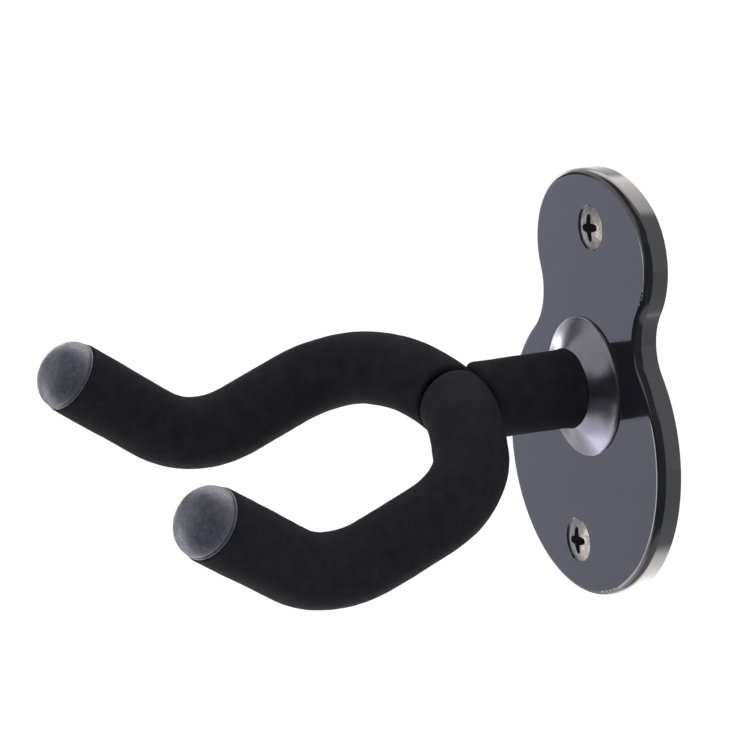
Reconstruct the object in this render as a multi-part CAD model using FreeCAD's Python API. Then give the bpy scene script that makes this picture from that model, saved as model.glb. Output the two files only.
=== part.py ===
import FreeCAD, Part
import math
import os

from FreeCAD import Vector

# Wall guitar hanger: a guitar-shaped wall plate and a foam-covered fork that swivels on it.
#
# Frame: millimetres, origin on the stem's axis in the wall plane. +Y points into the wall, so the
# hanger stands out towards -Y. +Z is up and +X is to the right of a person who faces the wall.

# ---- wall plate ---------------------------------------------------------------------------
PLATE_THICKNESS = 5.2
PLATE_EDGE_ROUND = 1.7
SHOULDER_X = 7.2                # centres of the two upper-lobe arcs
SHOULDER_Z = 29.4
SHOULDER_R = 16.5
CROWN_R = 31.0                  # flatter arc over the top, tangent to both shoulders
HIP_Z = -14.6                   # centre of the lower lobe
HIP_R = 32.5
WAIST_R = 11.2                  # hollow arcs between the lobes
BACK_RIM = 3.0                  # width of the wall left round the hollow back
BACK_HOLLOW = 1.8               # depth of the hollow back
SCREW_SPACING = 71.0
SCREW_BOSS_R = 7.0
PIVOT_BOSS_R = 14.0
PIVOT_POCKET_R = 9.0            # pocket in the back for the washers and the retaining ring
PIVOT_POCKET_DEPTH = 3.4

# ---- wood screws --------------------------------------------------------------------------
SCREW_HEAD_R = 4.75
SCREW_HEAD_DOME = 0.7
SCREW_SHANK_R = 2.2
SCREW_THREAD_R = 2.4
SCREW_LENGTH = 16.0
SCREW_POINT = 3.6
SCREW_POINT_R = 0.2             # the blunt end of the point
SCREW_HOLE_R = 2.75
COUNTERSINK_R = 5.05
THREAD_START_Y = -0.05          # the thread begins just before the wall
RECESS_REACH = 3.2              # the cross recess: half its length at the top,
RECESS_FLOOR_REACH = 0.9        # and at the bottom
RECESS_DEPTH = 2.0
RECESS_SLOT = 1.0
RECESS_TURN = -12.0            # degrees that the driven screws' crosses are turned off the vertical

# ---- swivel -------------------------------------------------------------------------------
SPIGOT_R = 4.0                  # reduced end of the stem that turns in the bush
SPIGOT_END_Y = -0.6
SPIGOT_CHAMFER = 0.35
RUNNING_CLEARANCE = 0.05
BUSH_R = 5.5
BUSH_FLANGE_R = 7.0
BUSH_FLANGE = 0.5
BUSH_FLANGE_ROOM = 0.2          # round the flange, in the collar's mouth
FACE_GAP = 0.05                 # between faces that turn on each other
WASHER_R = 6.6
WASHER = 0.5
WASHER_ROOM = 0.15              # between a washer's hole and the spigot
SPRING_SHEET = 0.3
SPRING_HEIGHT = 0.8
SPRING_ROOM = 0.3               # between the spring washer's hole and the spigot
RING_THICKNESS = 0.8
RING_GROOVE_R = 3.7
RING_ROOM = 0.02                # between the retaining ring and its groove
RING_WIDTH = 1.5
RING_SHIFT = 0.35               # the ring's outside is off centre, so it is widest at the top
RING_OPENING = 1.6
LUG_R = 1.35
LUG_X = 1.9
LUG_HOLE_R = 0.6

# ---- flared collar on the plate -----------------------------------------------------------
COLLAR_RIM_R = 15.3
COLLAR_RIM = 0.5                # height of the rim's straight side
COLLAR_RIM_ROUND = 0.45
COLLAR_HOLLOW = 0.3             # how far the flare dips below a straight cone
COLLAR_THROAT_R = 8.6
COLLAR_HEIGHT = 4.0
COLLAR_SEAT_DEPTH = 1.25        # step in its mouth that takes the bush flange

# ---- fork ---------------------------------------------------------------------------------
FORK_ROLL = 8.0                 # degrees that the fork is turned on its stem, right side down
STEM_ROD_R = 5.0
ARM_ROD_R = 4.0
STEM_FOAM_R = 8.5
ARM_FOAM_R = 7.9
FOAM_ROUND = 0.8                # softened end corners of the foam sleeves
STEM_FOAM_GAP = 0.3             # between the collar and the foam that turns in front of it
STEM_FOAM_END_Y = -30.6
CROTCH_SPLIT = 0.7              # from the middle plane to each arm sleeve's end
WELD_RING_R = 4.9
WELD_BEAD_R = 1.3
WELD_SET_BACK = 0.4             # from the arm rods' surface to the middle of the bead
WELD_ROOM = 0.2                 # between the bead and the foam round it
STEM_ROOM = 0.1                 # between the stem rod and the arms' foam

# One arm's centre line: the crotch, three corners to bend round, and the end of the foam.
CROTCH = Vector(0, -37.3, 0)
ARM_CORNERS = [Vector(11.2, -40.9, 3.0), Vector(33.2, -49.5, -3.5), Vector(33.4, -82.2, -19.0)]
ARM_BEND_RADII = [42.0, 19.0, 20.5]
FOAM_END = Vector(35.8, -110.7, 0.2)

# ---- end caps -----------------------------------------------------------------------------
CAP_R = 7.55
CAP_DOME = 5.9
CAP_BAND = 0.6                  # short straight band behind the dome
CAP_BORE_DEPTH = 3.2            # how far the arm's rod goes into the cap

WALL = Vector(0, 1, 0)          # direction into the wall
ROOM = Vector(0, -1, 0)         # direction out into the room
WIDE = 200.0                    # larger than the whole object
PAST = 1.0                      # how far a cutting shape runs past the face that it opens


# ---- helpers ------------------------------------------------------------------------------
def unit(vector):
    return Vector(vector).normalize()


def cylinder(radius, y_from, y_to, x=0.0, z=0.0):
    """A cylinder along the stem's direction, between two distances from the wall."""
    return Part.makeCylinder(radius, abs(y_to - y_from), Vector(x, max(y_from, y_to), z), ROOM)


def tube(outer, inner, y_from, y_to):
    """A ring or tube; y_from is the end nearer the wall."""
    return cylinder(outer, y_from, y_to).cut(cylinder(inner, y_from + PAST, y_to - PAST))


def arc(centre, radius, towards_a, towards_b):
    """The shorter arc about a centre, between the directions of two points."""
    a = unit(towards_a - centre)
    b = unit(towards_b - centre)
    middle = unit(a + b)
    return Part.Arc(centre + a * radius, centre + middle * radius, centre + b * radius).toShape()


def revolve(profile):
    """Turn (radius, y) edges about the stem's axis."""
    face = Part.Face(Part.Wire(profile))
    return face.revolve(Vector(0, 0, 0), WALL, 360)


def mirrored(shape):
    return shape.mirror(Vector(0, 0, 0), Vector(1, 0, 0))


# ---- wall plate ---------------------------------------------------------------------------
def plate_outline(inset=0.0):
    """The guitar-body outline, all tangent arcs, drawn inwards by the inset."""
    shoulder = Vector(SHOULDER_X, 0, SHOULDER_Z)
    hip = Vector(0, 0, HIP_Z)
    reach = CROWN_R - SHOULDER_R
    crown = Vector(0, 0, SHOULDER_Z - math.sqrt(reach**2 - SHOULDER_X**2))

    # the waist's centre is outside both lobes, at their radius plus its own
    to_shoulder = SHOULDER_R + WAIST_R
    to_hip = HIP_R + WAIST_R
    between = hip - shoulder
    span = between.Length
    along = (to_shoulder**2 - to_hip**2 + span**2) / (2 * span)
    aside = math.sqrt(to_shoulder**2 - along**2)
    direction = unit(between)
    outwards = Vector(-direction.z, 0, direction.x)
    if outwards.x < 0:
        outwards = -outwards
    waist = shoulder + direction * along + outwards * aside

    def flipped(point):
        return Vector(-point.x, 0, point.z)

    crown_end = crown + unit(shoulder - crown) * CROWN_R
    right = [
        arc(shoulder, SHOULDER_R - inset, crown_end, waist),
        arc(waist, WAIST_R + inset, shoulder, hip),
    ]
    left = [
        arc(flipped(shoulder), SHOULDER_R - inset, flipped(crown_end), flipped(waist)),
        arc(flipped(waist), WAIST_R + inset, flipped(shoulder), hip),
    ]
    top = arc(crown, CROWN_R - inset, flipped(crown_end), crown_end)
    hip_r = HIP_R - inset
    right_joint = hip + unit(waist - hip) * hip_r
    bottom = Part.Arc(right_joint, hip + Vector(0, 0, -hip_r), flipped(right_joint)).toShape()
    return Part.Wire(Part.__sortEdges__([top] + right + [bottom] + left))


def screw_centres():
    return {"upper": SCREW_SPACING / 2, "lower": -SCREW_SPACING / 2}


def make_base_plate():
    plate = Part.Face(plate_outline()).extrude(ROOM * PLATE_THICKNESS)
    front_edges = [edge for edge in plate.Edges if edge.BoundBox.YMax < -PLATE_THICKNESS + 0.01]
    plate = plate.makeFillet(PLATE_EDGE_ROUND, front_edges)

    hollow = Part.Face(plate_outline(BACK_RIM)).extrude(ROOM * BACK_HOLLOW)
    hollow = hollow.cut(cylinder(PIVOT_BOSS_R, PAST, -BACK_HOLLOW - PAST))
    for z in screw_centres().values():
        hollow = hollow.cut(cylinder(SCREW_BOSS_R, PAST, -BACK_HOLLOW - PAST, z=z))
    plate = plate.cut(hollow)

    plate = plate.cut(cylinder(PIVOT_POCKET_R, 0, -PIVOT_POCKET_DEPTH))
    plate = plate.cut(cylinder(BUSH_R + FACE_GAP, 0, -PLATE_THICKNESS))
    sink_depth = COUNTERSINK_R - SCREW_HOLE_R
    for z in screw_centres().values():
        face = Vector(0, -PLATE_THICKNESS, z)
        plate = plate.cut(cylinder(SCREW_HOLE_R, 0, -PLATE_THICKNESS, z=z))
        plate = plate.cut(Part.makeCone(COUNTERSINK_R, SCREW_HOLE_R, sink_depth, face, WALL))
    return plate


def cut_recess(screw, top_y, z):
    """Cut the cross recess: two slots that get shorter towards their bottom."""
    above_y = top_y - SCREW_HEAD_DOME - PAST
    floor_y = top_y + RECESS_DEPTH
    outline = Part.makePolygon([
        Vector(-RECESS_REACH, above_y, z),
        Vector(RECESS_REACH, above_y, z),
        Vector(RECESS_REACH, top_y, z),
        Vector(RECESS_FLOOR_REACH, floor_y, z),
        Vector(-RECESS_FLOOR_REACH, floor_y, z),
        Vector(-RECESS_REACH, top_y, z),
        Vector(-RECESS_REACH, above_y, z),
    ])
    for turn in (0, 90):
        slot = Part.Face(outline).extrude(Vector(0, 0, RECESS_SLOT))
        slot.translate(Vector(0, 0, -RECESS_SLOT / 2))
        slot.rotate(Vector(0, 0, z), WALL, turn + RECESS_TURN)
        screw = screw.cut(slot)
    return screw


def make_screw(z):
    """A countersunk wood screw; its thread is drawn as a plain cylinder of the outer size."""
    rim_y = -PLATE_THICKNESS + COUNTERSINK_R - SCREW_HEAD_R
    cone = SCREW_HEAD_R - SCREW_SHANK_R
    dome_r = (SCREW_HEAD_R**2 + SCREW_HEAD_DOME**2) / (2 * SCREW_HEAD_DOME)
    point_y = rim_y + SCREW_LENGTH - SCREW_POINT

    ball = Part.makeSphere(dome_r, Vector(0, rim_y - SCREW_HEAD_DOME + dome_r, z))
    dome = ball.common(cylinder(SCREW_HEAD_R, rim_y, rim_y - SCREW_HEAD_DOME, z=z))
    head = Part.makeCone(SCREW_HEAD_R, SCREW_SHANK_R, cone, Vector(0, rim_y, z), WALL)
    shank = cylinder(SCREW_SHANK_R, rim_y + cone, THREAD_START_Y, z=z)
    thread = cylinder(SCREW_THREAD_R, THREAD_START_Y, point_y, z=z)
    point = Part.makeCone(SCREW_THREAD_R, SCREW_POINT_R, SCREW_POINT, Vector(0, point_y, z), WALL)
    screw = dome.multiFuse([head, shank, thread, point]).removeSplitter()
    return cut_recess(screw, rim_y, z)


# ---- collar and swivel --------------------------------------------------------------------
def collar_top_y():
    return -PLATE_THICKNESS - COLLAR_HEIGHT


def bush_seat_y():
    return collar_top_y() + COLLAR_SEAT_DEPTH


def make_stem_collar():
    """A trumpet-shaped ring: its flare is one hollow arc, and the rim's edge is rounded."""
    rim_y = -PLATE_THICKNESS - COLLAR_RIM
    top_y = collar_top_y()
    mouth_r = BUSH_FLANGE_R + BUSH_FLANGE_ROOM
    throat = Vector(COLLAR_THROAT_R, top_y, 0)
    rim = Vector(COLLAR_RIM_R, rim_y, 0)
    slope = unit(rim - throat)
    inwards = Vector(-slope.y, slope.x, 0)
    middle = (throat + rim) / 2 + inwards * COLLAR_HOLLOW
    corners = [
        rim,
        Vector(COLLAR_RIM_R, -PLATE_THICKNESS, 0),
        Vector(BUSH_R + FACE_GAP, -PLATE_THICKNESS, 0),
        Vector(BUSH_R + FACE_GAP, bush_seat_y(), 0),
        Vector(mouth_r, bush_seat_y(), 0),
        Vector(mouth_r, top_y, 0),
        throat,
    ]
    straight = [Part.LineSegment(a, b).toShape() for a, b in zip(corners, corners[1:])]
    collar = revolve([Part.Arc(throat, middle, rim).toShape()] + straight)

    def is_rim_edge(edge):
        box = edge.BoundBox
        return box.YLength < 0.01 and abs(box.YMin - rim_y) < 0.01 and box.XMax > COLLAR_RIM_R - 0.01

    return collar.makeFillet(COLLAR_RIM_ROUND, [edge for edge in collar.Edges if is_rim_edge(edge)])


def make_pivot_bush():
    seat = bush_seat_y()
    sleeve = cylinder(BUSH_R, -PIVOT_POCKET_DEPTH, seat)
    flange = cylinder(BUSH_FLANGE_R, seat, seat - BUSH_FLANGE)
    bore = cylinder(SPIGOT_R + RUNNING_CLEARANCE, 0, seat - BUSH_FLANGE - PAST)
    return sleeve.fuse(flange).removeSplitter().cut(bore)


def thrust_washer_y():
    return bush_seat_y() - BUSH_FLANGE - FACE_GAP


def shoulder_y():
    return thrust_washer_y() - WASHER


def make_thrust_washer():
    return tube(WASHER_R, SPIGOT_R + WASHER_ROOM, thrust_washer_y(), shoulder_y())


def rear_washer_y():
    """Front face of the washer behind the plate."""
    return -PIVOT_POCKET_DEPTH + FACE_GAP


def spring_front_y():
    return rear_washer_y() + WASHER


def make_rear_washer():
    return tube(WASHER_R, SPIGOT_R + WASHER_ROOM, spring_front_y(), rear_washer_y())


def make_spring_washer():
    """A curved spring washer: a ring cut from sheet that is bent about one axis."""
    sag = SPRING_HEIGHT - SPRING_SHEET
    outer_r = (WASHER_R**2 + sag**2) / (2 * sag)
    front = spring_front_y()
    # the bend's axis is vertical and behind the washer, so its middle touches the front
    axis_y = front + outer_r
    base = Vector(0, axis_y, -WASHER_R - PAST)
    height = 2 * (WASHER_R + PAST)
    up = Vector(0, 0, 1)
    sheet = Part.makeCylinder(outer_r, height, base, up)
    sheet = sheet.cut(Part.makeCylinder(outer_r - SPRING_SHEET, height, base, up))
    return sheet.common(tube(WASHER_R, SPIGOT_R + SPRING_ROOM, front + SPRING_HEIGHT + PAST, front - PAST))


def ring_front_y():
    return spring_front_y() + SPRING_HEIGHT + FACE_GAP


def make_retaining_ring():
    """An external retaining ring: open at the bottom, with two lugs for the pliers."""
    front = ring_front_y()
    back = front + RING_THICKNESS
    inner_r = RING_GROOVE_R + RING_ROOM
    outer_r = inner_r + RING_WIDTH
    body = cylinder(outer_r, front, back, z=RING_SHIFT)
    lugs = [cylinder(LUG_R, front, back, x=x, z=-outer_r) for x in (-LUG_X, LUG_X)]
    ring = body.multiFuse(lugs).removeSplitter()
    ring = ring.cut(cylinder(inner_r, front - PAST, back + PAST))
    low_z = -outer_r - LUG_R - PAST
    depth = RING_THICKNESS + 2 * PAST
    opening = Part.makeBox(RING_OPENING, depth, -low_z, Vector(-RING_OPENING / 2, front - PAST, low_z))
    ring = ring.cut(opening)
    for x in (-LUG_X, LUG_X):
        ring = ring.cut(cylinder(LUG_HOLE_R, front - PAST, back + PAST, x=x, z=-outer_r))
    return ring


# ---- fork ---------------------------------------------------------------------------------
def bent_bar(points, bend_radii, radius):
    """A round bar along straight runs joined by tangent bends."""
    pieces = []
    start = points[0]
    for before, corner, after, bend in zip(points, points[1:], points[2:], bend_radii):
        back = unit(before - corner)
        ahead = unit(after - corner)
        half = back.getAngle(ahead) / 2
        setback = bend / math.tan(half)
        bend_start = corner + back * setback
        bend_end = corner + ahead * setback
        centre = corner + unit(back + ahead) * (bend / math.sin(half))
        normal = unit(back.cross(ahead))
        turn = 180 - math.degrees(2 * half)

        run = bend_start - start
        pieces.append(Part.makeCylinder(radius, run.Length, start, run))
        disc = Part.Face(Part.Wire(Part.makeCircle(radius, bend_start, -back)))
        pieces.append(disc.revolve(centre, -normal, turn))
        start = bend_end
    run = points[-1] - start
    pieces.append(Part.makeCylinder(radius, run.Length, start, run))
    return pieces[0].multiFuse(pieces[1:]).removeSplitter()


def arm_route(past_crotch, past_end):
    """The arm's centre line, its first and last runs made longer by the given lengths."""
    first = unit(ARM_CORNERS[0] - CROTCH)
    last = unit(FOAM_END - ARM_CORNERS[-1])
    return [CROTCH - first * past_crotch] + ARM_CORNERS + [FOAM_END + last * past_end]


def right_of(x):
    """Everything to the right of a plane, to trim the arms where they meet."""
    return Part.makeBox(WIDE, WIDE, WIDE, Vector(x, -WIDE, -WIDE / 2))


def arm_bar(radius, past_end, start_x):
    """An arm-shaped bar on the right-hand side, cut square to the middle plane."""
    bar = bent_bar(arm_route(2 * radius, past_end), ARM_BEND_RADII, radius)
    return bar.common(right_of(start_x))


def make_arm_rod():
    return arm_bar(ARM_ROD_R, CAP_BORE_DEPTH, 0.0)


def make_stem_rod(arm_rods):
    spigot = cylinder(SPIGOT_R, SPIGOT_END_Y, shoulder_y())
    spigot_edge = [edge for edge in spigot.Edges if edge.BoundBox.YMin > SPIGOT_END_Y - 0.01]
    spigot = spigot.makeChamfer(SPIGOT_CHAMFER, spigot_edge)
    bar = cylinder(STEM_ROD_R, shoulder_y(), CROTCH.y)
    rod = spigot.fuse(bar).removeSplitter()
    groove_front = ring_front_y() - FACE_GAP
    groove_back = ring_front_y() + RING_THICKNESS + FACE_GAP
    rod = rod.cut(tube(SPIGOT_R + PAST, RING_GROOVE_R, groove_back, groove_front))
    for arm in arm_rods:
        rod = rod.cut(arm)
    return max(rod.Solids, key=lambda solid: solid.Volume)


def weld_centre_y():
    return CROTCH.y + ARM_ROD_R + WELD_SET_BACK


def make_weld_bead(rods):
    bead = Part.makeTorus(WELD_RING_R, WELD_BEAD_R, Vector(0, weld_centre_y(), 0), ROOM)
    for rod in rods:
        bead = bead.cut(rod)
    return bead


def weld_room():
    """The space that the weld and the stem's end need inside the arm sleeves."""
    room_r = WELD_RING_R + WELD_BEAD_R + WELD_ROOM
    return cylinder(room_r, weld_centre_y() + WELD_BEAD_R + WELD_ROOM, CROTCH.y)


def make_stem_foam():
    start = collar_top_y() - STEM_FOAM_GAP
    outer = cylinder(STEM_FOAM_R, start, STEM_FOAM_END_Y)
    front_edge = [edge for edge in outer.Edges if edge.BoundBox.YMax < STEM_FOAM_END_Y + 0.01]
    outer = outer.makeFillet(FOAM_ROUND, front_edge)
    return outer.cut(cylinder(STEM_ROD_R, start + PAST, STEM_FOAM_END_Y - PAST))


def make_arm_foam(stem_foam):
    sleeve = arm_bar(ARM_FOAM_R, 0.0, CROTCH_SPLIT)
    sleeve = sleeve.cut(arm_bar(ARM_ROD_R, CAP_BORE_DEPTH, 0.0))
    # the sleeve's end is hollowed for the stem's end and the weld, and gives way to the stem's foam
    sleeve = sleeve.cut(weld_room())
    sleeve = sleeve.cut(cylinder(STEM_ROD_R + STEM_ROOM, shoulder_y(), CROTCH.y))
    seat = cylinder(STEM_FOAM_R, stem_foam.BoundBox.YMax, STEM_FOAM_END_Y)
    sleeve = sleeve.cut(seat)
    return max(sleeve.Solids, key=lambda solid: solid.Volume)


def make_arm_cap():
    """A domed cap on the rod's end, its band against the end of the foam."""
    axis = unit(FOAM_END - ARM_CORNERS[-1])
    band_end = FOAM_END + axis * CAP_BAND
    band = Part.makeCylinder(CAP_R, CAP_BAND, FOAM_END, axis)
    ball = Part.makeSphere(CAP_R, Vector(0, 0, 0))
    above = Part.makeBox(WIDE, WIDE, WIDE, Vector(-WIDE / 2, -WIDE / 2, 0))
    squash = FreeCAD.Matrix()
    squash.scale(Vector(1, 1, CAP_DOME / CAP_R))
    dome = ball.common(above).transformGeometry(squash)
    dome.Placement = FreeCAD.Placement(band_end, FreeCAD.Rotation(Vector(0, 0, 1), axis))
    bore = Part.makeCylinder(ARM_ROD_R, CAP_BORE_DEPTH, FOAM_END, axis)
    return dome.fuse(band).cut(bore)


# ---- assembly -----------------------------------------------------------------------------
def build():
    screws = {f"screw_{name}": make_screw(z) for name, z in screw_centres().items()}
    base = {
        "base_plate": make_base_plate(),
        "stem_collar": make_stem_collar(),
        "pivot_bush": make_pivot_bush(),
    }
    base.update(screws)

    arm_rod = make_arm_rod()
    arm_rods = [arm_rod, mirrored(arm_rod)]
    stem_rod = make_stem_rod(arm_rods)
    stem_foam = make_stem_foam()
    arm_foam = make_arm_foam(stem_foam)
    arm_cap = make_arm_cap()
    fork = {
        "stem_rod": stem_rod,
        "arm_rod_left": arm_rods[1],
        "arm_rod_right": arm_rods[0],
        "weld_bead": make_weld_bead([stem_rod] + arm_rods),
        "stem_foam": stem_foam,
        "arm_foam_left": mirrored(arm_foam),
        "arm_foam_right": arm_foam,
        "arm_cap_left": mirrored(arm_cap),
        "arm_cap_right": arm_cap,
        "thrust_washer": make_thrust_washer(),
        "rear_washer": make_rear_washer(),
        "spring_washer": make_spring_washer(),
        "retaining_ring": make_retaining_ring(),
    }
    for shape in fork.values():
        shape.rotate(Vector(0, 0, 0), WALL, FORK_ROLL)
    return {**base, **fork}


def main():
    os.makedirs("parts", exist_ok=True)
    for name, shape in build().items():
        if not shape.isValid() or len(shape.Solids) != 1:
            print("check", name, "valid", shape.isValid(), "solids", len(shape.Solids))
        shape.Solids[0].exportStep(f"parts/{name}.step")


main()
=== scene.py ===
import bisect
import bmesh
import bpy
import math
from mathutils import Matrix, Vector, noise


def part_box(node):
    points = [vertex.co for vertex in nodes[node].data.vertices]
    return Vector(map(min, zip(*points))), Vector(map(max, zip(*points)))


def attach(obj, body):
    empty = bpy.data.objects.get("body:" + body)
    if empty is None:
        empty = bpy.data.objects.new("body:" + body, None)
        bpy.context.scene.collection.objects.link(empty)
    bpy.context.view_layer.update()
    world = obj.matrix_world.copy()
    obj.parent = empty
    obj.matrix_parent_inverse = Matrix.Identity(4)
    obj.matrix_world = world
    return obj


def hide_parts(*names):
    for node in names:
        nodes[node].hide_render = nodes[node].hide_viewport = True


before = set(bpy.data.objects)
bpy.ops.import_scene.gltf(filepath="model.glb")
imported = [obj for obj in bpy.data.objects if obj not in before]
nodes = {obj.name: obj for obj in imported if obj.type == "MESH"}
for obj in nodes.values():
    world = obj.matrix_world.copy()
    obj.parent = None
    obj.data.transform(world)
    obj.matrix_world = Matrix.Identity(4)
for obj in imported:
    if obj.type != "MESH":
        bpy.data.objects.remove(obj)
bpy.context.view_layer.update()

MM = 0.001
WALL = Vector((0, 1, 0))          # the stem's axis, into the wall

# ---- the fork's shape, as in the CAD, in millimetres --------------------------------------
FORK_ROLL = math.radians(8.0)     # the fork is turned on its stem, right side down
CROTCH = Vector((0, -37.3, 0))
ARM_CORNERS = [Vector((11.2, -40.9, 3.0)), Vector((33.2, -49.5, -3.5)), Vector((33.4, -82.2, -19.0))]
ARM_BENDS = [42.0, 19.0, 20.5]
FOAM_END = Vector((35.8, -110.7, 0.2))
ARM_FOAM_R = 7.9
ARM_ROD_R = 4.0
STEM_FOAM_R = 8.5
STEM_ROD_R = 5.0
STEM_FOAM_FRONT = -33.0           # where the stem's foam would end with nothing in its way
COLLAR_TOUCH = 0.05               # between the stem's foam and the collar
RIGHT_SPLIT = -0.4                # where the sleeves end at the crotch, from the middle plane; the
LEFT_SPLIT = 0.7                  # right one has pushed a little past it

# ---- mesh fineness ------------------------------------------------------------------------
AROUND = 112                      # points round a foam sleeve
SLEEVE_STEP = 0.55                # millimetres along a foam sleeve
END_RINGS = 7                     # rings in each rounded corner of a sleeve
BORE_EVERY = 4                    # the bore has one ring for every so many outside
BORE_ROOM = 0.06                  # between a rod and its sleeve
SETTLE = 14.0                     # how far along a sleeve the shape of its cut end is felt
SWELL_REACH = 1.2                 # how far along a sleeve its pressed end bulges
SOFT_EDGE = math.radians(24)      # edges that bend less than this are shaded as one surface


# ===========================================================================================
# Mesh helpers
# ===========================================================================================
def add_mesh(name, points, faces, material, scale=MM):
    """A smooth-shaded mesh object from points in millimetres."""
    mesh = bpy.data.meshes.new(name)
    mesh.from_pydata([tuple(p * scale) for p in points], [], faces)
    mesh.validate()
    mesh.update()
    piece = bpy.data.objects.new(name, mesh)
    bpy.context.collection.objects.link(piece)
    mesh.materials.append(material)
    for polygon in mesh.polygons:
        polygon.use_smooth = True
    return piece


def grid_faces(rings, around):
    """Quads between rings of points, each ring closed on itself."""
    faces = []
    for ring in range(rings - 1):
        for k in range(around):
            a = ring * around + k
            b = ring * around + (k + 1) % around
            faces.append((a, b, b + around, a + around))
    return faces


def level_ring(radius_at, height, around):
    """Points round +Z at one height; the radius may change with the angle."""
    points = []
    for k in range(around):
        angle = 2 * math.pi * k / around
        radius = radius_at(angle)
        points.append(Vector((radius * math.cos(angle), radius * math.sin(angle), height)))
    return points


def add_spindle(name, rings, low, high, material):
    """A closed solid about +Z: rings of points, closed by a point on the axis at each end."""
    around = len(rings[0])
    points = [Vector((0, 0, low))]
    for ring in rings:
        points += ring
    points.append(Vector((0, 0, high)))
    faces = [tuple(i + 1 for i in quad) for quad in grid_faces(len(rings), around)]
    last = len(points) - 1
    start = last - around
    for k in range(around):
        n = (k + 1) % around
        faces.append((0, n + 1, k + 1))
        faces.append((last, start + k, start + n))
    return add_mesh(name, points, faces, material)


def place(piece, matrix):
    """Move a mesh's points, so that the object itself stays at the origin."""
    piece.data.transform(matrix)
    piece.data.update()


def axis_frame(origin, axis):
    """The turn and shift that take +Z to an axis that starts at a point in millimetres."""
    turn = Vector((0, 0, 1)).rotation_difference(axis).to_matrix().to_4x4()
    return Matrix.Translation(origin * MM) @ turn


def roll_fork(piece):
    place(piece, Matrix.Rotation(FORK_ROLL, 4, WALL))
    return piece


def mirror_across(piece):
    """Swap left and right, and keep the faces pointing outwards."""
    place(piece, Matrix.Scale(-1, 4, Vector((1, 0, 0))))
    piece.data.flip_normals()


# ===========================================================================================
# Materials
# ===========================================================================================
class Shader:
    """A Principled material with a few shorthands; one unit of its coordinates is 1 mm."""

    def __init__(self, name, **sockets):
        self.material = bpy.data.materials.new(name)
        self.material.use_nodes = True
        self.tree = self.material.node_tree
        self.surface = self.tree.nodes["Principled BSDF"]
        for socket, value in sockets.items():
            self.surface.inputs[socket.replace("_", " ")].default_value = value
        coordinates = self.node("ShaderNodeTexCoord")
        mapping = self.node("ShaderNodeMapping")
        mapping.inputs["Scale"].default_value = (1 / MM,) * 3
        self.link(coordinates.outputs["Object"], mapping.inputs["Vector"])
        self.place = mapping.outputs["Vector"]

    def node(self, kind, **settings):
        node = self.tree.nodes.new(kind)
        for key, value in settings.items():
            setattr(node, key, value)
        return node

    def link(self, output, socket):
        self.tree.links.new(output, socket)

    def noise(self, per_mm, detail=2.0, roughness=0.5, stretch=(1, 1, 1)):
        scaled = self.node("ShaderNodeVectorMath", operation="MULTIPLY")
        self.link(self.place, scaled.inputs[0])
        scaled.inputs[1].default_value = stretch
        texture = self.node("ShaderNodeTexNoise")
        texture.inputs["Scale"].default_value = per_mm
        texture.inputs["Detail"].default_value = detail
        texture.inputs["Roughness"].default_value = roughness
        self.link(scaled.outputs["Vector"], texture.inputs["Vector"])
        return texture.outputs["Fac"]

    def cells(self, per_mm):
        texture = self.node("ShaderNodeTexVoronoi")
        texture.inputs["Scale"].default_value = per_mm
        self.link(self.place, texture.inputs["Vector"])
        return texture.outputs["Distance"]

    def ramp(self, value, stops):
        """Spread a value over (position, colour) stops; a colour may be one grey number."""
        ramp = self.node("ShaderNodeValToRGB")
        elements = ramp.color_ramp.elements
        while len(elements) < len(stops):
            elements.new(0.5)
        for element, (position, colour) in zip(elements, stops):
            element.position = position
            grey = isinstance(colour, (int, float))
            element.color = (colour,) * 3 + (1,) if grey else tuple(colour) + (1,)
        self.link(value, ramp.inputs["Fac"])
        return ramp.outputs["Color"]

    def spread(self, value, low, high):
        """Map 0.3 to 0.7 of a noise to a range of plain numbers."""
        node = self.node("ShaderNodeMapRange")
        node.inputs["From Min"].default_value = 0.3
        node.inputs["From Max"].default_value = 0.7
        node.inputs["To Min"].default_value = low
        node.inputs["To Max"].default_value = high
        self.link(value, node.inputs["Value"])
        return node.outputs["Result"]

    def weigh(self, first, first_share, second, second_share):
        """The sum of two values, each taken by its share."""
        scaled = self.node("ShaderNodeMath", operation="MULTIPLY")
        self.link(second, scaled.inputs[0])
        scaled.inputs[1].default_value = second_share
        total = self.node("ShaderNodeMath", operation="MULTIPLY_ADD")
        self.link(first, total.inputs[0])
        total.inputs[1].default_value = first_share
        self.link(scaled.outputs["Value"], total.inputs[2])
        return total.outputs["Value"]

    def colour(self, output):
        self.link(output, self.surface.inputs["Base Color"])

    def roughness(self, output):
        self.link(output, self.surface.inputs["Roughness"])

    def bump(self, *layers):
        """Stack (height output, depth in millimetres) layers."""
        before = None
        for height, depth in layers:
            node = self.node("ShaderNodeBump")
            node.inputs["Strength"].default_value = 1.0
            node.inputs["Distance"].default_value = depth * MM
            self.link(height, node.inputs["Height"])
            if before is not None:
                self.link(before, node.inputs["Normal"])
            before = node.outputs["Normal"]
        self.link(before, self.surface.inputs["Normal"])


def gloss_enamel():
    """Stoved black enamel: a mirror-like skin with a faint orange peel."""
    shader = Shader("gloss_black_enamel", IOR=1.52)
    stops = [(0.3, (0.0075, 0.0078, 0.0105)), (0.7, (0.0098, 0.010, 0.0135))]
    shader.colour(shader.ramp(shader.noise(0.05, 3), stops))
    shader.roughness(shader.spread(shader.noise(0.12, 4), 0.06, 0.10))
    shader.bump((shader.noise(0.45, 1), 0.006), (shader.noise(2.6, 2), 0.001))
    return shader.material


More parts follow.
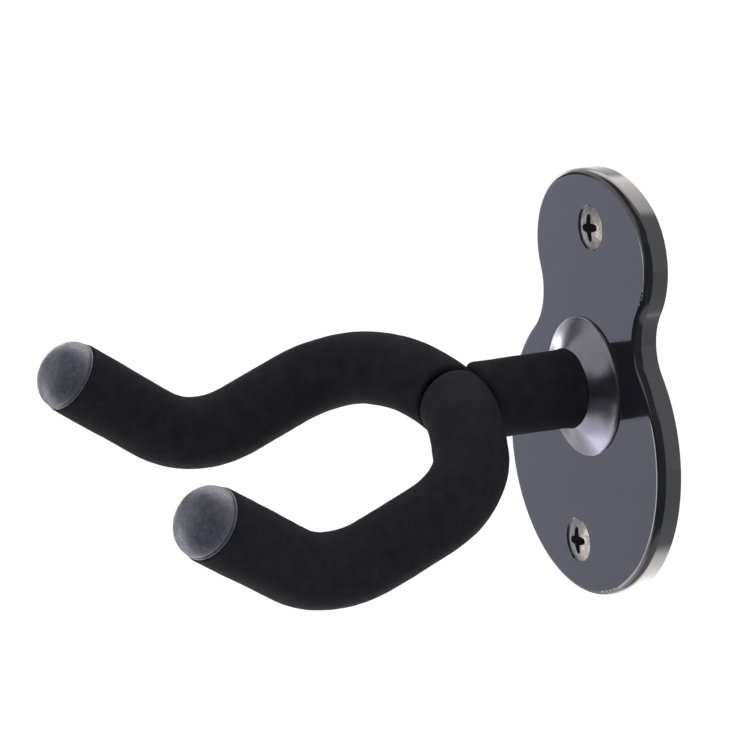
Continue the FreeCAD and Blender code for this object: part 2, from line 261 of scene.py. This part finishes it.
def black_nickel():
    """The collar's dark bright plating, with faint marks of polishing."""
    shader = Shader("black_nickel", Metallic=0.93)
    stops = [(0.3, (0.122, 0.119, 0.143)), (0.7, (0.144, 0.139, 0.164))]
    shader.colour(shader.ramp(shader.noise(0.16, 4, 0.6), stops))
    shader.roughness(shader.spread(shader.noise(0.5, 4), 0.19, 0.26))
    shader.bump((shader.noise(0.3, 2), 0.012), (shader.noise(2.6, 2), 0.002))
    return shader.material


def closed_cell_foam():
    """Dull black rubber foam: a fine open grain, and faint dusty patches at random."""
    shader = Shader("closed_cell_foam", IOR=1.35, Specular_IOR_Level=0.1)
    patches = shader.noise(0.3, 4, 0.6)
    grain = shader.noise(3.4, 3, 0.7)
    dust = shader.weigh(grain, 0.7, patches, 0.5)
    low = (0.475, (0.0068, 0.0069, 0.0094))
    middle = (0.6, (0.0089, 0.0090, 0.0123))
    high = (0.75, (0.0124, 0.0125, 0.0166))
    shader.colour(shader.ramp(dust, [low, middle, high]))
    shader.roughness(shader.spread(grain, 0.85, 1.0))
    shader.bump((shader.noise(0.9, 3), 0.04), (shader.cells(3.0), 0.06), (grain, 0.09))
    return shader.material


def soft_vinyl():
    """The caps' bluish grey-black vinyl, with a bloom of dust and a satin skin."""
    shader = Shader("satin_vinyl", IOR=1.5)
    bloom = shader.noise(0.9, 6, 0.72)
    stops = [(0.34, (0.021, 0.021, 0.036)), (0.5, (0.031, 0.031, 0.051)), (0.66, (0.049, 0.049, 0.074))]
    shader.colour(shader.ramp(bloom, stops))
    shader.roughness(shader.spread(shader.noise(1.2, 4), 0.36, 0.52))
    shader.bump((shader.noise(1.1, 4), 0.06), (shader.noise(6.0, 2), 0.02))
    return shader.material


def dull_nickel():
    """Nickel plate gone slightly grey and warm, with stains."""
    shader = Shader("dull_nickel", Metallic=1.0)
    stain = shader.noise(0.7, 4, 0.55)
    stops = [(0.30, (0.085, 0.076, 0.069)), (0.5, (0.135, 0.122, 0.113)), (0.72, (0.21, 0.195, 0.184))]
    shader.colour(shader.ramp(stain, stops))
    shader.roughness(shader.spread(shader.noise(3.0, 3), 0.22, 0.42))
    shader.bump((shader.noise(1.5, 3), 0.02), (shader.noise(6.0, 2), 0.003))
    return shader.material


def recess_painted_shade():
    """The inside of a driven screw's recess, painted near black as the shade deep in the cross, with a
    mottle of dirt.
    """
    shader = Shader("recess_painted_shade", IOR=1.4)
    dirt_and_shade = shader.noise(4.0, 4, 0.6)
    # painted shade: near black for the shade deep in the cross, mottled by dirt
    shader.colour(shader.ramp(dirt_and_shade, [(0.35, (0.004, 0.004, 0.005)), (0.7, (0.013, 0.012, 0.012))]))
    shader.roughness(shader.spread(dirt_and_shade, 0.6, 0.9))
    shader.bump((dirt_and_shade, 0.03))
    return shader.material


def zinc_plate():
    """Bright zinc with a faint spangle."""
    shader = Shader("zinc_plate", Metallic=1.0)
    spangle = shader.noise(1.5, 3, 0.6)
    shader.colour(shader.ramp(spangle, [(0.3, (0.52, 0.53, 0.55)), (0.7, (0.70, 0.70, 0.69))]))
    shader.roughness(shader.spread(shader.noise(4.0, 3), 0.22, 0.4))
    shader.bump((shader.noise(5.0, 3), 0.01))
    return shader.material


def phosphated_spring_steel():
    shader = Shader("phosphated_spring_steel", Metallic=0.8)
    shade = shader.noise(2.0, 4, 0.6)
    shader.colour(shader.ramp(shade, [(0.3, (0.055, 0.05, 0.046)), (0.7, (0.12, 0.112, 0.105))]))
    shader.roughness(shader.spread(shader.noise(5.0, 3), 0.38, 0.56))
    shader.bump((shader.noise(8.0, 2), 0.01))
    return shader.material


def natural_nylon():
    shader = Shader("natural_nylon", IOR=1.53)
    shade = shader.noise(0.8, 3)
    shader.colour(shader.ramp(shade, [(0.3, (0.66, 0.63, 0.55)), (0.7, (0.76, 0.74, 0.67))]))
    shader.roughness(shader.spread(shader.noise(3.0, 3), 0.36, 0.5))
    shader.bump((shader.noise(6.0, 2), 0.008))
    return shader.material


def rod_paint():
    """Thin satin black paint over drawn steel, its draw marks along the stem."""
    shader = Shader("satin_rod_paint", IOR=1.5)
    marks = shader.noise(2.4, 3, 0.6, stretch=(1, 0.12, 1))
    shader.colour(shader.ramp(marks, [(0.35, (0.010, 0.010, 0.011)), (0.7, (0.024, 0.024, 0.026))]))
    shader.roughness(shader.spread(marks, 0.28, 0.46))
    shader.bump((marks, 0.02))
    return shader.material


def pale_floor():
    shader = Shader("pale_floor")
    shade = shader.noise(0.004, 3)
    shader.colour(shader.ramp(shade, [(0.3, 0.80), (0.7, 0.82)]))
    shader.surface.inputs["Roughness"].default_value = 0.9
    shader.surface.inputs["Specular IOR Level"].default_value = 0.0
    return shader.material


# ===========================================================================================
# Foam sleeves
# ===========================================================================================
def arm_path(step=SLEEVE_STEP):
    """Points and directions along the right arm's centre line, before the fork is rolled."""
    points = [CROTCH] + ARM_CORNERS + [FOAM_END]
    line = []

    def add_run(start, end):
        run = end - start
        count = max(1, round(run.length / step))
        for k in range(count):
            line.append((start + run * (k / count), run.normalized()))

    start = points[0]
    for before, corner, after, bend in zip(points, points[1:], points[2:], ARM_BENDS):
        back = (before - corner).normalized()
        ahead = (after - corner).normalized()
        half = back.angle(ahead) / 2
        setback = bend / math.tan(half)
        add_run(start, corner + back * setback)
        centre = corner + (back + ahead).normalized() * (bend / math.sin(half))
        turn = math.pi - 2 * half
        normal = (-back).cross(ahead).normalized()
        spoke = corner + back * setback - centre
        count = max(2, round(turn * bend / step))
        for k in range(count):
            rotation = Matrix.Rotation(turn * k / count, 3, normal)
            line.append((centre + rotation @ spoke, rotation @ -back))
        start = corner + ahead * setback
    add_run(start, points[-1])
    line.append((points[-1], (points[-1] - start).normalized()))
    return line


def carried_frames(line):
    """A side direction for each point, carried along the line without twisting."""
    side = line[0][1].orthogonal().normalized()
    sides = []
    for _, direction in line:
        side = (side - direction * side.dot(direction)).normalized()
        sides.append((side, direction.cross(side)))
    return sides


def foam_skin(point):
    """How far the foam's skin stands out at a point, in millimetres: soft lumps, then finer ones."""
    slow = noise.noise(point * 0.11 + Vector((3.1, 7.7, 1.3)))
    quick = noise.noise(point * 0.42 + Vector((9.2, 0.4, 5.5)))
    fine = noise.noise(point * 0.8)
    return 0.12 * slow + 0.05 * quick + 0.02 * fine


def rounded_end(distance, corner):
    """How much a sleeve's radius drops at a distance from its end, for a soft round corner."""
    if distance >= corner:
        return 0.0
    return corner - math.sqrt(max(0.0, corner**2 - (corner - distance) ** 2))


class Route:
    """A line of (point, direction) that can be asked for its place at any distance along it."""

    def __init__(self, line):
        self.line = line
        self.sides = carried_frames(line)
        self.lengths = [0.0]
        for (a, _), (b, _) in zip(line, line[1:]):
            self.lengths.append(self.lengths[-1] + (b - a).length)
        self.total = self.lengths[-1]

    def spoke(self, distance, angle):
        """The line's point at a distance, and the direction outwards at an angle round it."""
        low = bisect.bisect_right(self.lengths, distance) - 1
        low = min(max(low, 0), len(self.line) - 2)
        part = (distance - self.lengths[low]) / (self.lengths[low + 1] - self.lengths[low])
        point = self.line[low][0].lerp(self.line[low + 1][0], part)
        side = self.sides[low][0].lerp(self.sides[low + 1][0], min(max(part, 0.0), 1.0))
        other = self.sides[low][1].lerp(self.sides[low + 1][1], min(max(part, 0.0), 1.0))
        return point, side * math.cos(angle) + other * math.sin(angle)


def crowded(total, start_corner, end_corner):
    """Distances along a sleeve, close together at both ends so that the corners come out round."""
    near_start = [start_corner * (k / END_RINGS) ** 2 for k in range(END_RINGS + 1)]
    near_end = [total - end_corner * (k / END_RINGS) ** 2 for k in range(END_RINGS, -1, -1)]
    span = near_end[0] - near_start[-1]
    count = round(span / SLEEVE_STEP)
    return near_start + [near_start[-1] + span * k / count for k in range(1, count)] + near_end


def sleeve_mesh(name, route, radius, bore, material, cut=None, corners=(0.9, 0.6), swell=0.0):
    """A hollow foam tube along a route.

    cut tells, for a direction outwards, how far along the route that side of the tube starts. It
    shapes the first end; the rings settle to square again over SETTLE. swell is how much the last
    end bulges where it is pressed against something.
    """
    start_corner, end_corner = corners
    angles = [2 * math.pi * k / AROUND for k in range(AROUND)]
    shifts = [cut(route.spoke(0.0, angle)[1]) if cut else 0.0 for angle in angles]

    def ring(station, radius_at):
        eased = max(0.0, 1 - station / SETTLE)
        points = []
        for angle, shift in zip(angles, shifts):
            distance = station + shift * eased * eased * (3 - 2 * eased)
            point, out = route.spoke(distance, angle)
            points.append(point + out * radius_at(point, out))
        return points

    points = []
    stations = crowded(route.total, start_corner, end_corner)
    for station in stations:
        to_end = route.total - station
        drop = rounded_end(station, start_corner) + rounded_end(to_end, end_corner)
        body = radius - drop + swell * math.exp(-((to_end / SWELL_REACH) ** 2))
        points += ring(station, lambda point, out: body + foam_skin(point + out * radius))
    bore_stations = stations[::-BORE_EVERY]
    if bore_stations[-1] != stations[0]:
        bore_stations.append(stations[0])
    for station in bore_stations:
        points += ring(station, lambda point, out: bore + BORE_ROOM)
    rings = len(stations) + len(bore_stations)
    faces = grid_faces(rings, AROUND)
    last = (rings - 1) * AROUND
    for k in range(AROUND):
        n = (k + 1) % AROUND
        faces.append((last + k, last + n, n, k))
    return add_mesh(name, points, faces, material)


def arm_sleeve(name, material, split, mirrored=False):
    """The arm's foam: its first end is cut to the middle plane, its last end meets the cap."""
    line = arm_path()
    along = line[0][1].x

    def to_split(out):
        return (split - CROTCH.x - out.x * ARM_FOAM_R) / along

    piece = sleeve_mesh(name, Route(line), ARM_FOAM_R, ARM_ROD_R, material, cut=to_split)
    if mirrored:
        mirror_across(piece)
    roll_fork(piece)
    return piece


def stem_sleeve(material):
    """The stem's foam: pressed against the collar, and hollowed where it meets the arms' sleeves."""
    collar_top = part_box("stem_collar")[0][1] / MM
    length = collar_top - COLLAR_TOUCH - STEM_FOAM_FRONT
    count = round(length / SLEEVE_STEP)
    line = [(Vector((0, STEM_FOAM_FRONT + length * k / count, 0)), WALL) for k in range(count + 1)]
    first = (ARM_CORNERS[0] - CROTCH).normalized()

    def clear_of_arms(out):
        """How far the edge draws back to clear the arm sleeve that it meets."""
        edge = out * STEM_FOAM_R
        along = abs(edge.x) / first.x
        height = edge.z - first.z * along
        if abs(height) >= ARM_FOAM_R:
            return 0.0
        half_width = math.sqrt(ARM_FOAM_R**2 - height**2) / first.x
        return max(0.0, CROTCH.y + first.y * along + half_width - STEM_FOAM_FRONT)

    return roll_fork(sleeve_mesh(
        "stem_foam_sleeve", Route(line), STEM_FOAM_R, STEM_ROD_R, material,
        cut=clear_of_arms, corners=(1.8, 0.35), swell=0.28,
    ))


def build_foam():
    foam = closed_cell_foam()
    sleeves = {
        "stem_foam": stem_sleeve(foam),
        "arm_foam_right": arm_sleeve("right_arm_sleeve", foam, RIGHT_SPLIT),
        "arm_foam_left": arm_sleeve("left_arm_sleeve", foam, LEFT_SPLIT, mirrored=True),
    }
    for node, piece in sleeves.items():
        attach(piece, "fork")
        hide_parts(node)


# ===========================================================================================
# End caps
# ===========================================================================================
CAP_R = 7.55
CAP_DOME = 5.9
CAP_BAND = 0.6
CAP_LIP = 0.16                    # how far the rim stands out past the dome
LIP_R = 0.3
LIP_STEPS = 8
DOME_STEPS = 26
CAP_UNDERSIDE_R = 4.2             # a ring on the flat underside, just outside the arm's rod
GROOVE = 0.12                     # depth of the groove between the rim and the dome
GROOVE_RISE = 0.05
CAP_AROUND = 96


def cap_profile():
    """(radius, height) from the flat underside, round the rim's lip and over the dome."""
    profile = [(CAP_UNDERSIDE_R, 0.0), (CAP_R - LIP_R, 0.0)]
    for k in range(LIP_STEPS + 1):
        angle = -math.pi / 2 + math.pi * k / LIP_STEPS
        radius = CAP_R - LIP_R + LIP_R * math.cos(angle) + CAP_LIP
        profile.append((radius, LIP_R + LIP_R * math.sin(angle)))
    profile.append((CAP_R - GROOVE, CAP_BAND + GROOVE_RISE))
    for k in range(1, DOME_STEPS):
        angle = math.pi / 2 * k / DOME_STEPS
        profile.append((CAP_R * math.cos(angle), CAP_BAND + CAP_DOME * math.sin(angle)))
    return profile


def cap_wobble(angle, height):
    """Moulded soft vinyl isn't quite round."""
    return 0.03 * math.sin(2 * angle + 0.6) + 0.015 * math.sin(5 * angle + height)


def build_caps():
    vinyl = soft_vinyl()
    axis = (FOAM_END - ARM_CORNERS[-1]).normalized()
    for side in ("right", "left"):
        rings = [
            level_ring(lambda angle: radius + cap_wobble(angle, height), height, CAP_AROUND)
            for radius, height in cap_profile()
        ]
        piece = add_spindle(f"{side}_end_cap", rings, 0.0, CAP_BAND + CAP_DOME, vinyl)
        place(piece, axis_frame(FOAM_END, axis))
        if side == "left":
            mirror_across(piece)
        roll_fork(piece)
        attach(piece, "fork")
        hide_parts(f"arm_cap_{side}")


# ===========================================================================================
# Wood screws
# ===========================================================================================
HEAD_R = 4.75
HEAD_DOME = 0.7
HEAD_RIM = 0.12                   # height of the rim between the dome and the cone
SHANK_R = 2.2
THREAD_R = 2.4
CORE_R = 1.65
PITCH = 1.9
RIDGE_HALF = 0.24                 # half the foot of the thread's ridge, as a share of the pitch
THREAD_START = 5.2
PLAIN_SHANK = (1.2, 0.4)          # the plain shank's rings, this far before the thread
THREAD_RUN_IN = 1.6               # over which the thread rises and the shank thins to the core
THREAD_STEP = 0.16
SCREW_LENGTH = 16.0
POINT_LENGTH = 3.6
POINT_FULLNESS = 0.8              # the power of the point's taper; 1 is a straight cone
SCREW_AROUND = 72
DOME_RINGS = 11
CONE_RINGS = 6
SHARP_EDGE = math.radians(32)     # edges of the screws that bend more than this stay sharp

RECESS_TURN = math.radians(-12)
RECESS_ABOVE = -HEAD_DOME - 0.6   # the cutter starts clear of the head's top
RECESS_FLOOR = 1.75
RECESS_POINT = 0.45               # depth of the pointed middle below the floor


def head_profile():
    """(radius, height) over the domed top and the thin rim, then down the countersunk cone."""
    profile = []
    for k in range(1, DOME_RINGS + 1):
        radius = HEAD_R * k / (DOME_RINGS + 0.5)
        profile.append((radius, -HEAD_DOME * (1 - (radius / HEAD_R) ** 2)))
    profile += [(HEAD_R - 0.05, -0.03), (HEAD_R, 0.02), (HEAD_R, HEAD_RIM), (HEAD_R - 0.06, 0.2)]
    cone = HEAD_R - SHANK_R
    for k in range(1, CONE_RINGS + 1):
        profile.append((HEAD_R - cone * k / CONE_RINGS, HEAD_RIM + cone * k / CONE_RINGS))
    return profile


def thread_radius(angle, height):
    """The screw's radius below its head: shank, then a ridge that climbs one pitch a turn."""
    taper = min(1.0, ((SCREW_LENGTH - height) / POINT_LENGTH) ** POINT_FULLNESS)
    into_thread = min(1.0, max(0.0, (height - THREAD_START) / THREAD_RUN_IN))
    core = SHANK_R + (CORE_R - SHANK_R) * into_thread
    turn = (height / PITCH - angle / (2 * math.pi)) % 1.0
    ridge = max(0.0, 1 - abs(turn - 0.5) / RIDGE_HALF) * into_thread
    return (core + (THREAD_R - core) * ridge) * taper


def screw_body(name, material):
    """Head, shank and thread as one skin; +Z is the way that it is driven, 0 the head's rim."""
    rings = []
    for radius, height in head_profile():
        rings.append(level_ring(lambda angle: radius, height, SCREW_AROUND))
    threaded = SCREW_LENGTH - THREAD_START
    count = round(threaded / THREAD_STEP)
    heights = [THREAD_START - before for before in PLAIN_SHANK]
    heights += [THREAD_START + threaded * k / count for k in range(count)]
    for height in heights:
        rings.append(level_ring(lambda angle: thread_radius(angle, height), height, SCREW_AROUND))
    return add_spindle(name, rings, -HEAD_DOME, SCREW_LENGTH, material)


def recess_ring(reach, half, corner, height):
    """One level of the cross: for each wing its rounded end, then the corner to the next wing."""
    points = []
    for quarter in range(4):
        angle = quarter * math.pi / 2 + RECESS_TURN
        along = Vector((math.cos(angle), math.sin(angle), 0))
        across = Vector((-math.sin(angle), math.cos(angle), 0))
        for bend in range(-2, 3):
            swing = bend * math.pi / 4
            end = along * (reach - half + half * math.cos(swing))
            points.append(end + across * (half * math.sin(swing)))
        points.append((along + across) * corner)
    return [point + Vector((0, 0, height)) for point in points]


def recess_cutter(material):
    """The cross recess: four round-ended wings that taper inwards, and a pointed middle."""
    rings = [
        recess_ring(reach=3.4, half=0.86, corner=1.06, height=RECESS_ABOVE),
        recess_ring(reach=3.2, half=0.80, corner=0.98, height=-HEAD_DOME),
        recess_ring(reach=2.9, half=0.70, corner=0.88, height=-0.1),
        recess_ring(reach=1.2, half=0.40, corner=0.50, height=RECESS_FLOOR),
    ]
    return add_spindle("recess_cutter", rings, RECESS_ABOVE, RECESS_FLOOR + RECESS_POINT, material)


def cut_away(piece, cutter):
    """Subtract one mesh from another and keep the result on the piece."""
    modifier = piece.modifiers.new("cut", "BOOLEAN")
    modifier.object = cutter
    modifier.operation = "DIFFERENCE"
    modifier.solver = "EXACT"
    modifier.material_mode = "TRANSFER"
    graph = bpy.context.evaluated_depsgraph_get()
    result = bpy.data.meshes.new_from_object(piece.evaluated_get(graph))
    piece.modifiers.clear()
    piece.data = result
    bpy.data.objects.remove(cutter)
    for polygon in result.polygons:
        polygon.use_smooth = True
    result.set_sharp_from_angle(angle=SHARP_EDGE)


def build_screws():
    nickel = dull_nickel()
    # painted shade: the recess's faces take this near-black material, which stands for the shade in the
    # cross
    painted_shade = recess_painted_shade()
    for side in ("upper", "lower"):
        low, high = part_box(f"screw_{side}")
        centre = (Vector(low) + Vector(high)) / 2 / MM
        head_rim = Vector((centre.x, low[1] / MM + HEAD_DOME, centre.z))
        piece = screw_body(f"{side}_wood_screw", nickel)
        cut_away(piece, recess_cutter(painted_shade))
        place(piece, axis_frame(head_rim, WALL))
        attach(piece, "wall_side")
        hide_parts(f"screw_{side}")


# ===========================================================================================
# CAD pieces that keep their shape
# ===========================================================================================
def finish_cad_nodes():
    finishes = {
        rod_paint(): ["stem_rod", "arm_rod_left", "arm_rod_right", "weld_bead"],
        zinc_plate(): ["thrust_washer", "rear_washer"],
        phosphated_spring_steel(): ["spring_washer", "retaining_ring"],
        natural_nylon(): ["pivot_bush"],
    }
    for material, names in finishes.items():
        for name in names:
            for slot in nodes[name].material_slots:
                slot.material = material


def polished_copy(node, name, material):
    """A copy of a CAD piece whose shading runs evenly over every soft edge, as mirrors need."""
    mesh = nodes[node].data.copy()
    if "custom_normal" in mesh.attributes:
        mesh.attributes.remove(mesh.attributes["custom_normal"])
    welded = bmesh.new()
    welded.from_mesh(mesh)
    bmesh.ops.remove_doubles(welded, verts=welded.verts, dist=0.001 * MM)
    welded.to_mesh(mesh)
    welded.free()
    mesh.set_sharp_from_angle(angle=SOFT_EDGE)
    mesh.materials.clear()
    mesh.materials.append(material)
    for polygon in mesh.polygons:
        polygon.use_smooth = True
        polygon.material_index = 0
    piece = bpy.data.objects.new(name, mesh)
    piece.matrix_world = nodes[node].matrix_world.copy()
    bpy.context.collection.objects.link(piece)
    even = piece.modifiers.new("even_shading", "WEIGHTED_NORMAL")
    even.mode = "FACE_AREA_WITH_ANGLE"
    even.keep_sharp = True
    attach(piece, "wall_side")
    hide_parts(node)
    return piece


def build_polished():
    polished_copy("base_plate", "enamelled_plate", gloss_enamel())
    polished_copy("stem_collar", "plated_collar", black_nickel())


# ===========================================================================================
# Studio
# ===========================================================================================
CAMERA_AZIMUTH = math.radians(62.5)
CAMERA_ELEVATION = math.radians(17.1)
CAMERA_ROLL = math.radians(1.1)
CAMERA_DISTANCE = 0.762
CAMERA_LENS = 168.0
AIM_LEFT = 0.0500                 # the picture's middle is this far to the left of the stem's root
AIM_UP = 0.0018
FLOOR_BELOW = 0.9
FLOOR_HALF = 12.0
WORLD_STRENGTH = 1.32
CARD_DISTANCE = 0.8
CARD_SOFTNESS = 0.22              # the share of a card over which each of its edges fades
SQUARE = [(-1, -1), (1, -1), (1, 1), (-1, 1)]


def build_camera():
    a, e = CAMERA_AZIMUTH, CAMERA_ELEVATION
    back = Vector((math.sin(a) * math.cos(e), -math.cos(a) * math.cos(e), math.sin(e)))
    level = Vector((math.cos(a), math.sin(a), 0))
    tilt = Matrix.Rotation(CAMERA_ROLL, 3, back)
    right = tilt @ level
    up = back.cross(right)
    aim = up * AIM_UP - right * AIM_LEFT
    camera = bpy.data.objects.new("camera", bpy.data.cameras.new("camera"))
    bpy.context.collection.objects.link(camera)
    rotation = Matrix((right, up, back)).transposed().to_4x4()
    camera.matrix_world = Matrix.Translation(aim + back * CAMERA_DISTANCE) @ rotation
    camera.data.lens = CAMERA_LENS
    camera.data.clip_start = 0.01
    camera.data.clip_end = 50
    bpy.context.scene.camera = camera


def build_floor():
    corners = [Vector((x * FLOOR_HALF, y * FLOOR_HALF, -FLOOR_BELOW)) for x, y in SQUARE]
    floor = add_mesh("floor", corners, [(0, 1, 2, 3)], pale_floor(), scale=1.0)


def card_material(name, colour, low, high):
    """A glow that goes evenly from low at a card's foot to high at its head, faded at the edges."""
    material = bpy.data.materials.new(name)
    material.use_nodes = True
    add_node = material.node_tree.nodes.new
    link = material.node_tree.links.new
    surface = material.node_tree.nodes["Principled BSDF"]
    surface.inputs["Base Color"].default_value = (0.01, 0.01, 0.01, 1)
    surface.inputs["Specular IOR Level"].default_value = 0.0
    surface.inputs["Emission Color"].default_value = tuple(colour) + (1,)
    spot = add_node("ShaderNodeSeparateXYZ")
    link(add_node("ShaderNodeTexCoord").outputs["UV"], spot.inputs[0])

    glow = add_node("ShaderNodeMapRange")
    glow.inputs["To Min"].default_value = low
    glow.inputs["To Max"].default_value = high
    link(spot.outputs["Y"], glow.inputs["Value"])
    link(glow.outputs["Result"], surface.inputs["Emission Strength"])

    opacity = add_node("ShaderNodeMath")
    opacity.operation = "MULTIPLY"
    for axis, socket in zip("XY", opacity.inputs):
        from_edge = add_node("ShaderNodeMath")
        from_edge.operation = "PINGPONG"
        from_edge.inputs[1].default_value = 0.5
        link(spot.outputs[axis], from_edge.inputs[0])
        fade = add_node("ShaderNodeMapRange")
        fade.interpolation_type = "SMOOTHSTEP"
        fade.inputs["From Max"].default_value = CARD_SOFTNESS
        link(from_edge.outputs["Value"], fade.inputs["Value"])
        link(fade.outputs["Result"], socket)
    link(opacity.outputs["Value"], surface.inputs["Alpha"])
    return material


def towards(azimuth, elevation):
    """A direction from the stem's root: azimuth from +X towards +Y, in degrees."""
    a = math.radians(azimuth)
    e = math.radians(elevation)
    return Vector((math.cos(a) * math.cos(e), math.sin(a) * math.cos(e), math.sin(e)))


def build_card(name, azimuth, elevation, wide, tall, colour, low, high=None):
    """A flat card that faces the stem's root, placed and sized in degrees, seen only in gloss."""
    centre = towards(azimuth, elevation) * CARD_DISTANCE
    facing = -centre.normalized()
    across = Vector((0, 0, 1)).cross(facing).normalized()
    upwards = facing.cross(across)
    across *= CARD_DISTANCE * math.tan(math.radians(wide / 2))
    upwards *= CARD_DISTANCE * math.tan(math.radians(tall / 2))
    corners = [centre + across * a + upwards * b for a, b in SQUARE]
    material = card_material(name, colour, low, low if high is None else high)
    card = add_mesh(name, corners, [(0, 1, 2, 3)], material, scale=1.0)
    layer = card.data.uv_layers.new(name="across_and_up")
    for loop in card.data.loops:
        a, b = SQUARE[loop.vertex_index]
        layer.data[loop.index].uv = ((a + 1) / 2, (b + 1) / 2)
    card.visible_camera = False
    card.visible_diffuse = False
    card.visible_shadow = False
    card.visible_transmission = False


def build_cards():
    """What the polished parts mirror: a cool wall on the left, a dark room round the camera."""
    white = (1.0, 1.0, 1.0)
    mauve = (1.0, 0.99, 1.06)
    cool = (0.93, 0.96, 1.18)
    warm = (1.05, 1.0, 0.97)
    build_card("left_wall", 206, -17, 46, 40, cool, 0.92, 1.42)
    build_card("left_shelf", 201, 9, 34, 18, white, 0.15)
    build_card("left_lamp", 177, -5, 14, 40, white, 5.0)
    build_card("window", 236, -17, 20, 34, white, 7.0)
    build_card("dark_front", 263, -17, 28, 34, white, 0.12)
    for azimuth in (287, 312, 337, 2):
        build_card(f"dark_{azimuth}", azimuth, -5, 44, 100, white, 0.14)
    build_card("dark_ceiling", 312, 58, 84, 54, white, 0.14)
    build_card("dark_ceiling_left", 226, 58, 60, 44, white, 0.16)
    build_card("low_lamp", 230, -41, 22, 28, mauve, 5.0)
    build_card("low_glow", 236, -50, 54, 44, (1.0, 0.98, 1.06), 2.2)
    build_card("low_back_glow", 128, -56, 76, 60, warm, 4.6)
    build_card("high_back_glow", 140, 52, 84, 52, warm, 4.4)


def build_world():
    world = bpy.data.worlds.new("studio")
    bpy.context.scene.world = world
    world.use_nodes = True
    background = world.node_tree.nodes["Background"]
    background.inputs["Color"].default_value = (1.0, 1.0, 1.0, 1)
    background.inputs["Strength"].default_value = WORLD_STRENGTH
    bpy.context.scene.view_settings.view_transform = "Standard"


build_camera()
build_floor()
build_world()
build_cards()
finish_cad_nodes()
build_polished()
build_foam()
build_caps()
build_screws()
